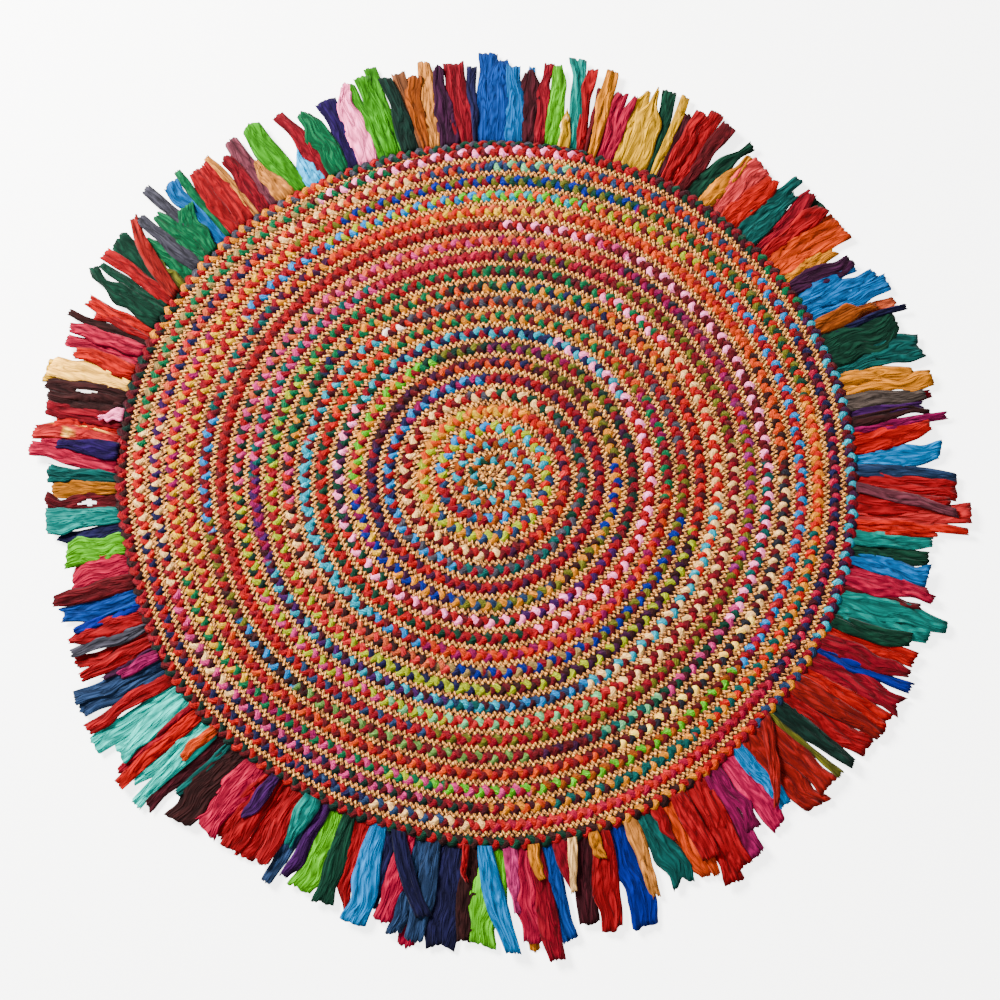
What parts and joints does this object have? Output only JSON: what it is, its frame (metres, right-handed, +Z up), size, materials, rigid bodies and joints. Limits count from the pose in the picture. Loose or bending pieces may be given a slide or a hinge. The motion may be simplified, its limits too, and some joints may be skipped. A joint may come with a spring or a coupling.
{
  "type": "braided rug",
  "caption": "Flat round rug of rag and jute braids sewn side by side in one double spiral, with a fringe of crumpled rag strips all round its edge.",
  "frame": {"origin": "middle of the spiral, on the underside, which lies on the floor", "axes": "+Z up out of the rug's face, +Y towards 12 o'clock of the picture, +X to its right"},
  "size_m": [1.2179, 1.2155, 0.009],
  "materials": {
    "cotton_rags": "matte cotton rags in many colours",
    "jute": "coarse natural jute",
    "rag_strips": "crumpled cotton strips in many colours"
  },
  "bodies": {
    "root": {"cotton_braid": "cotton_rags", "jute_braid": "jute", "rag_fringe": "rag_strips"}
  },
  "joints": []
}
